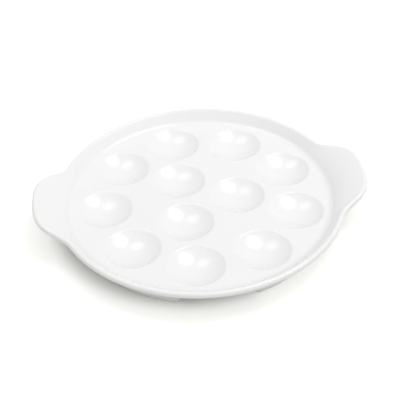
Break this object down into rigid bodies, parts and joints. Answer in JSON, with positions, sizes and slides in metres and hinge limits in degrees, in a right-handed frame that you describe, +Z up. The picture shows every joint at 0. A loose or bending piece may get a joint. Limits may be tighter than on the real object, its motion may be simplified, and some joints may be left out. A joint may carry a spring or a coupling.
{
  "type": "escargot plate",
  "caption": "Round white porcelain snail dish: a flat floor dimpled with round wells, a flared rim with lug handles on opposite sides, and an interrupted foot ring.",
  "frame": {"origin": "centre of the dish on the plane that its feet stand on", "axes": "+X towards the right-hand handle, +Y towards the back, +Z up out of the wells"},
  "size_m": [0.2354, 0.2054, 0.0282],
  "materials": {
    "glazed_porcelain": "gloss"
  },
  "bodies": {
    "root": {"floor_panel": "glazed_porcelain", "cove_ring": "glazed_porcelain", "rim_front": "glazed_porcelain", "rim_back": "glazed_porcelain", "handle_right": "glazed_porcelain", "handle_left": "glazed_porcelain", "outer_well_1": "glazed_porcelain", "outer_well_2": "glazed_porcelain", "outer_well_3": "glazed_porcelain", "outer_well_4": "glazed_porcelain", "outer_well_5": "glazed_porcelain", "outer_well_6": "glazed_porcelain", "outer_well_7": "glazed_porcelain", "outer_well_8": "glazed_porcelain", "outer_well_9": "glazed_porcelain", "inner_well_1": "glazed_porcelain", "inner_well_2": "glazed_porcelain", "inner_well_3": "glazed_porcelain", "foot_back_right": "glazed_porcelain", "foot_back_left": "glazed_porcelain", "foot_front_left": "glazed_porcelain", "foot_front_right": "glazed_porcelain"}
  },
  "joints": []
}
